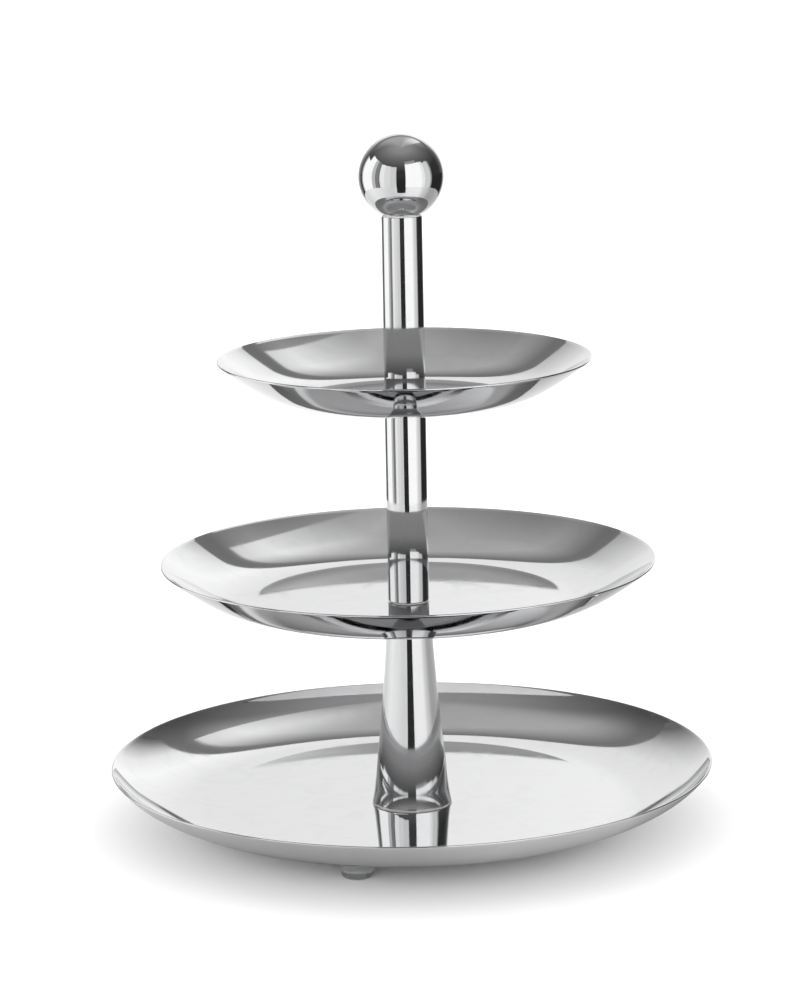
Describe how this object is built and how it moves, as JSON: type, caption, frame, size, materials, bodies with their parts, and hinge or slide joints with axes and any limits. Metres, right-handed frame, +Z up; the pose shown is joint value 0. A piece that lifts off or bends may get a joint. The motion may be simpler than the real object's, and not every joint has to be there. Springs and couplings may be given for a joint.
{
  "type": "tiered cake stand",
  "caption": "Round tiered serving stand: shallow polished steel dishes of falling size on a column that flares at its foot, with a ball knob on top.",
  "frame": {"origin": "on the axis of the columns, in the plane that the feet stand on", "axes": "+Z up along the columns towards the ball knob; the dishes and columns are round about Z, so X and Y are only told by the feet"},
  "size_m": [0.3, 0.3, 0.345],
  "materials": {
    "polished_steel": "mirror-polished stainless steel",
    "turned_steel": "turned stainless steel",
    "clear_silicone": "clear silicone",
    "seal_silicone": "thin translucent silicone disc"
  },
  "bodies": {
    "base": {"bottom_tray": "polished_steel", "foot_1": "clear_silicone", "foot_2": "clear_silicone", "foot_3": "clear_silicone", "foot_4": "clear_silicone", "base_washer": "turned_steel", "base_screw": "turned_steel", "base_seal": "seal_silicone", "lower_column": "polished_steel", "lower_base_plug": "turned_steel", "lower_top_plug": "turned_steel", "lower_top_seal": "seal_silicone"},
    "middle_tray": {"middle_tray": "polished_steel"},
    "middle_seal": {"middle_seal": "seal_silicone"},
    "middle_column": {"middle_column": "polished_steel", "middle_base_plug": "turned_steel", "middle_top_plug": "turned_steel", "middle_stud": "turned_steel", "middle_top_seal": "seal_silicone"},
    "top_tray": {"top_tray": "polished_steel"},
    "top_seal": {"top_seal": "seal_silicone"},
    "upper_column": {"upper_column": "polished_steel", "upper_base_plug": "turned_steel", "upper_top_plug": "turned_steel", "upper_stud": "turned_steel"},
    "knob_seal": {"knob_seal": "seal_silicone"},
    "knob": {"ball_knob": "polished_steel", "knob_boss": "turned_steel", "knob_stud": "turned_steel"}
  },
  "joints": [
    {"name": "middle_tray_lift", "type": "slide", "parent": "base", "child": "middle_tray", "axis": [0, 0, 1], "range_m": [0, 0.04]},
    {"name": "middle_rise", "type": "slide", "parent": "middle_tray", "child": "middle_seal", "axis": [0, 0, 1], "range_m": [0, 0.01]},
    {"name": "middle_turn", "type": "hinge", "parent": "middle_seal", "child": "middle_column", "pos_m": [0, 0, 0.1135], "axis": [0, 0, 1], "range_deg": [0, 3564]},
    {"name": "top_tray_lift", "type": "slide", "parent": "middle_column", "child": "top_tray", "axis": [0, 0, 1], "range_m": [0, 0.04]},
    {"name": "upper_rise", "type": "slide", "parent": "top_tray", "child": "top_seal", "axis": [0, 0, 1], "range_m": [0, 0.01]},
    {"name": "upper_turn", "type": "hinge", "parent": "top_seal", "child": "upper_column", "pos_m": [0, 0, 0.2147], "axis": [0, 0, 1], "range_deg": [0, 3564]},
    {"name": "knob_rise", "type": "slide", "parent": "upper_column", "child": "knob_seal", "axis": [0, 0, 1], "range_m": [0, 0.01]},
    {"name": "knob_turn", "type": "hinge", "parent": "knob_seal", "child": "knob", "pos_m": [0, 0, 0.3057], "axis": [0, 0, 1], "range_deg": [0, 3564]}
  ],
  "couplings": [
    {"joint": "middle_rise", "follows": "middle_turn", "m_per_rad": 0.00015915},
    {"joint": "upper_rise", "follows": "upper_turn", "m_per_rad": 0.00015915},
    {"joint": "knob_rise", "follows": "knob_turn", "m_per_rad": 0.00015915}
  ]
}
